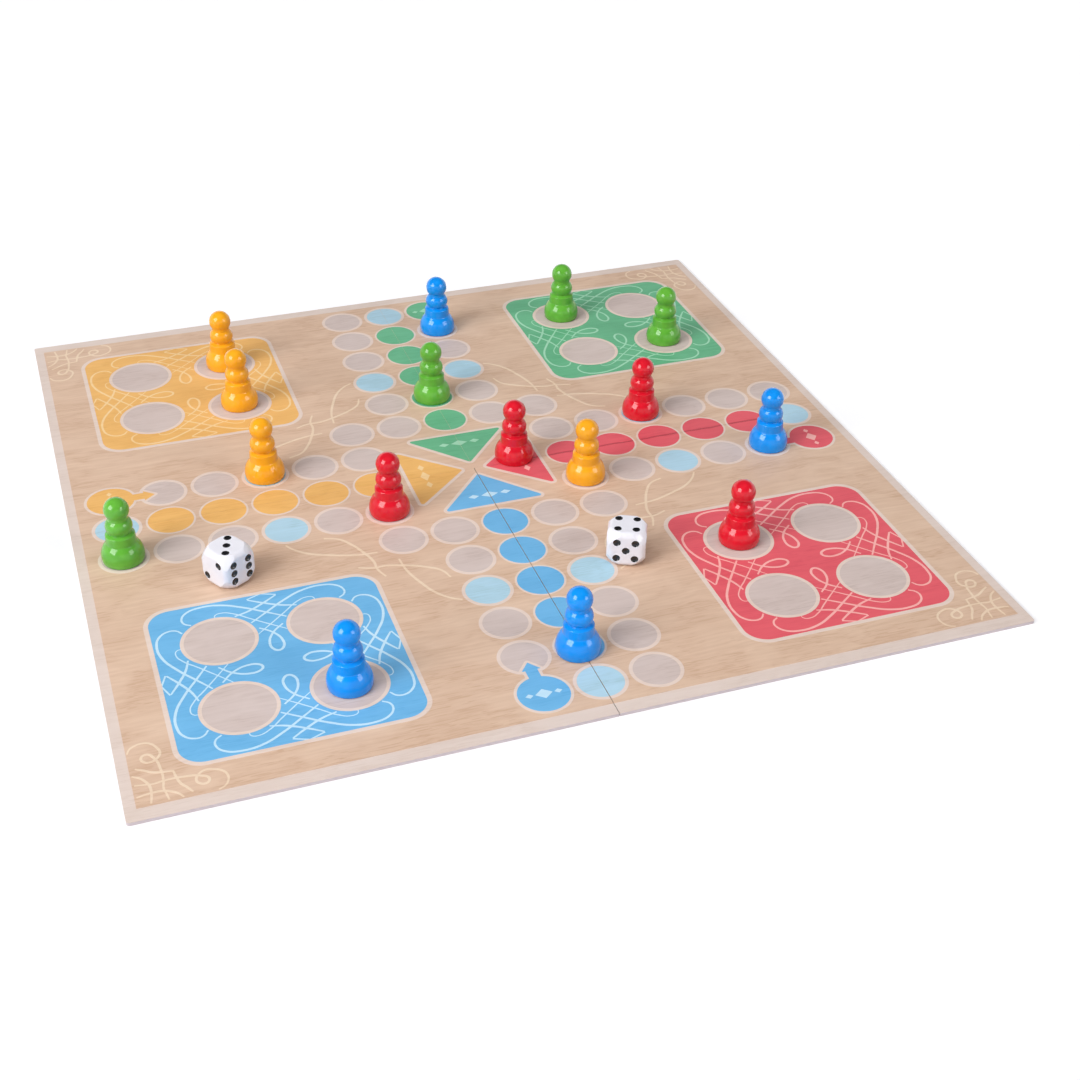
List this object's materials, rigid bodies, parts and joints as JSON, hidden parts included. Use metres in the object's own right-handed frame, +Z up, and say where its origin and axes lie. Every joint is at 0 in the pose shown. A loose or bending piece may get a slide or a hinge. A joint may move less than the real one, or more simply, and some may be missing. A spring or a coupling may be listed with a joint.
{
  "type": "folding board game",
  "caption": "Quad-folding square ludo board with a printed track, lying open, with turned pawns in four colours and two dice standing on it.",
  "frame": {"origin": "under the middle of the open board, on the surface it lies on", "axes": "+Z up, +X to the right and +Y away, seen by the player at the blue arm, whose edge is the cut one"},
  "size_m": [0.35, 0.35, 0.0306],
  "materials": {
    "greyboard": "matt",
    "backing_paper": "matt",
    "face_sheet": "satin print of oak grain",
    "track_ink": "satin",
    "safe_ink": "satin",
    "orange_ink": "satin",
    "green_ink": "satin",
    "red_ink": "satin",
    "blue_ink": "satin",
    "orange_lacquer": "high gloss lacquer",
    "green_lacquer": "high gloss lacquer",
    "red_lacquer": "high gloss lacquer",
    "blue_lacquer": "high gloss lacquer",
    "die_plastic": "gloss"
  },
  "bodies": {
    "panel_back_left": {"greyboard_back_left": "greyboard", "backing_paper_back_left": "backing_paper", "face_sheet_back_left": "face_sheet", "track_print_back_left": "track_ink", "safe_print_back_left": "safe_ink", "orange_print_back_left": "orange_ink", "green_print_back_left": "green_ink"},
    "panel_back_right": {"greyboard_back_right": "greyboard", "backing_paper_back_right": "backing_paper", "face_sheet_back_right": "face_sheet", "track_print_back_right": "track_ink", "safe_print_back_right": "safe_ink", "green_print_back_right": "green_ink", "red_print_back_right": "red_ink"},
    "panel_front_left": {"greyboard_front_left": "greyboard", "backing_paper_front_left": "backing_paper", "face_sheet_front_left": "face_sheet", "track_print_front_left": "track_ink", "safe_print_front_left": "safe_ink", "blue_print_front_left": "blue_ink", "orange_print_front_left": "orange_ink"},
    "panel_front_right": {"greyboard_front_right": "greyboard", "backing_paper_front_right": "backing_paper", "face_sheet_front_right": "face_sheet", "track_print_front_right": "track_ink", "safe_print_front_right": "safe_ink", "blue_print_front_right": "blue_ink", "red_print_front_right": "red_ink"},
    "pawn_orange_1": {"pawn_orange_1": "orange_lacquer"},
    "pawn_orange_2": {"pawn_orange_2": "orange_lacquer"},
    "pawn_orange_3": {"pawn_orange_3": "orange_lacquer"},
    "pawn_green_3": {"pawn_green_3": "green_lacquer"},
    "pawn_green_4": {"pawn_green_4": "green_lacquer"},
    "pawn_red_3": {"pawn_red_3": "red_lacquer"},
    "pawn_blue_3": {"pawn_blue_3": "blue_lacquer"},
    "pawn_blue_4": {"pawn_blue_4": "blue_lacquer"},
    "die_left": {"die_left": "die_plastic"},
    "pawn_orange_4": {"pawn_orange_4": "orange_lacquer"},
    "pawn_green_1": {"pawn_green_1": "green_lacquer"},
    "pawn_green_2": {"pawn_green_2": "green_lacquer"},
    "pawn_red_1": {"pawn_red_1": "red_lacquer"},
    "pawn_red_2": {"pawn_red_2": "red_lacquer"},
    "pawn_red_4": {"pawn_red_4": "red_lacquer"},
    "pawn_blue_1": {"pawn_blue_1": "blue_lacquer"},
    "pawn_blue_2": {"pawn_blue_2": "blue_lacquer"},
    "die_right": {"die_right": "die_plastic"}
  },
  "joints": [
    {"name": "far_crease_fold", "type": "hinge", "parent": "panel_back_left", "child": "panel_back_right", "pos_m": [0, 0.0875, -0.0001], "axis": [0, 1, 0], "range_deg": [0, 180]},
    {"name": "left_crease_fold", "type": "hinge", "parent": "panel_back_left", "child": "panel_front_left", "pos_m": [-0.0875, 0, 0.0016], "axis": [-1, 0, 0], "range_deg": [0, 180]},
    {"name": "right_crease_fold", "type": "hinge", "parent": "panel_back_right", "child": "panel_front_right", "pos_m": [0.0875, 0, 0.0016], "axis": [-1, 0, 0], "range_deg": [0, 180]},
    {"name": "pawn_orange_1_lift", "type": "slide", "parent": "panel_back_left", "child": "pawn_orange_1", "axis": [0, 0, 1], "range_m": [0, 0.55]},
    {"name": "pawn_orange_2_lift", "type": "slide", "parent": "panel_back_left", "child": "pawn_orange_2", "axis": [0, 0, 1], "range_m": [0, 0.55]},
    {"name": "pawn_orange_3_lift", "type": "slide", "parent": "panel_back_left", "child": "pawn_orange_3", "axis": [0, 0, 1], "range_m": [0, 0.55]},
    {"name": "pawn_green_3_lift", "type": "slide", "parent": "panel_back_left", "child": "pawn_green_3", "axis": [0, 0, 1], "range_m": [0, 0.55]},
    {"name": "pawn_green_4_lift", "type": "slide", "parent": "panel_back_left", "child": "pawn_green_4", "axis": [0, 0, 1], "range_m": [0, 0.55]},
    {"name": "pawn_red_3_lift", "type": "slide", "parent": "panel_back_left", "child": "pawn_red_3", "axis": [0, 0, 1], "range_m": [0, 0.55]},
    {"name": "pawn_blue_3_lift", "type": "slide", "parent": "panel_back_left", "child": "pawn_blue_3", "axis": [0, 0, 1], "range_m": [0, 0.55]},
    {"name": "pawn_blue_4_lift", "type": "slide", "parent": "panel_back_left", "child": "pawn_blue_4", "axis": [0, 0, 1], "range_m": [0, 0.55]},
    {"name": "die_left_lift", "type": "slide", "parent": "panel_back_left", "child": "die_left", "axis": [0, 0, 1], "range_m": [0, 0.55]},
    {"name": "pawn_orange_4_lift", "type": "slide", "parent": "panel_back_right", "child": "pawn_orange_4", "axis": [0, 0, 1], "range_m": [0, 0.55]},
    {"name": "pawn_green_1_lift", "type": "slide", "parent": "panel_back_right", "child": "pawn_green_1", "axis": [0, 0, 1], "range_m": [0, 0.55]},
    {"name": "pawn_green_2_lift", "type": "slide", "parent": "panel_back_right", "child": "pawn_green_2", "axis": [0, 0, 1], "range_m": [0, 0.55]},
    {"name": "pawn_red_1_lift", "type": "slide", "parent": "panel_back_right", "child": "pawn_red_1", "axis": [0, 0, 1], "range_m": [0, 0.55]},
    {"name": "pawn_red_2_lift", "type": "slide", "parent": "panel_back_right", "child": "pawn_red_2", "axis": [0, 0, 1], "range_m": [0, 0.55]},
    {"name": "pawn_red_4_lift", "type": "slide", "parent": "panel_back_right", "child": "pawn_red_4", "axis": [0, 0, 1], "range_m": [0, 0.55]},
    {"name": "pawn_blue_1_lift", "type": "slide", "parent": "panel_back_right", "child": "pawn_blue_1", "axis": [0, 0, 1], "range_m": [0, 0.55]},
    {"name": "pawn_blue_2_lift", "type": "slide", "parent": "panel_back_right", "child": "pawn_blue_2", "axis": [0, 0, 1], "range_m": [0, 0.55]},
    {"name": "die_right_lift", "type": "slide", "parent": "panel_back_right", "child": "die_right", "axis": [0, 0, 1], "range_m": [0, 0.55]}
  ],
  "couplings": [
    {"joint": "right_crease_fold", "follows": "left_crease_fold", "ratio": 1},
    {"joint": "pawn_orange_1_lift", "follows": "left_crease_fold", "m_per_rad": 0.175},
    {"joint": "pawn_orange_2_lift", "follows": "left_crease_fold", "m_per_rad": 0.175},
    {"joint": "pawn_orange_3_lift", "follows": "left_crease_fold", "m_per_rad": 0.175},
    {"joint": "pawn_green_3_lift", "follows": "left_crease_fold", "m_per_rad": 0.175},
    {"joint": "pawn_green_4_lift", "follows": "left_crease_fold", "m_per_rad": 0.175},
    {"joint": "pawn_red_3_lift", "follows": "left_crease_fold", "m_per_rad": 0.175},
    {"joint": "pawn_blue_3_lift", "follows": "left_crease_fold", "m_per_rad": 0.175},
    {"joint": "pawn_blue_4_lift", "follows": "left_crease_fold", "m_per_rad": 0.175},
    {"joint": "die_left_lift", "follows": "left_crease_fold", "m_per_rad": 0.175},
    {"joint": "pawn_orange_4_lift", "follows": "left_crease_fold", "m_per_rad": 0.175},
    {"joint": "pawn_green_1_lift", "follows": "left_crease_fold", "m_per_rad": 0.175},
    {"joint": "pawn_green_2_lift", "follows": "left_crease_fold", "m_per_rad": 0.175},
    {"joint": "pawn_red_1_lift", "follows": "left_crease_fold", "m_per_rad": 0.175},
    {"joint": "pawn_red_2_lift", "follows": "left_crease_fold", "m_per_rad": 0.175},
    {"joint": "pawn_red_4_lift", "follows": "left_crease_fold", "m_per_rad": 0.175},
    {"joint": "pawn_blue_1_lift", "follows": "left_crease_fold", "m_per_rad": 0.175},
    {"joint": "pawn_blue_2_lift", "follows": "left_crease_fold", "m_per_rad": 0.175},
    {"joint": "die_right_lift", "follows": "left_crease_fold", "m_per_rad": 0.175}
  ]
}
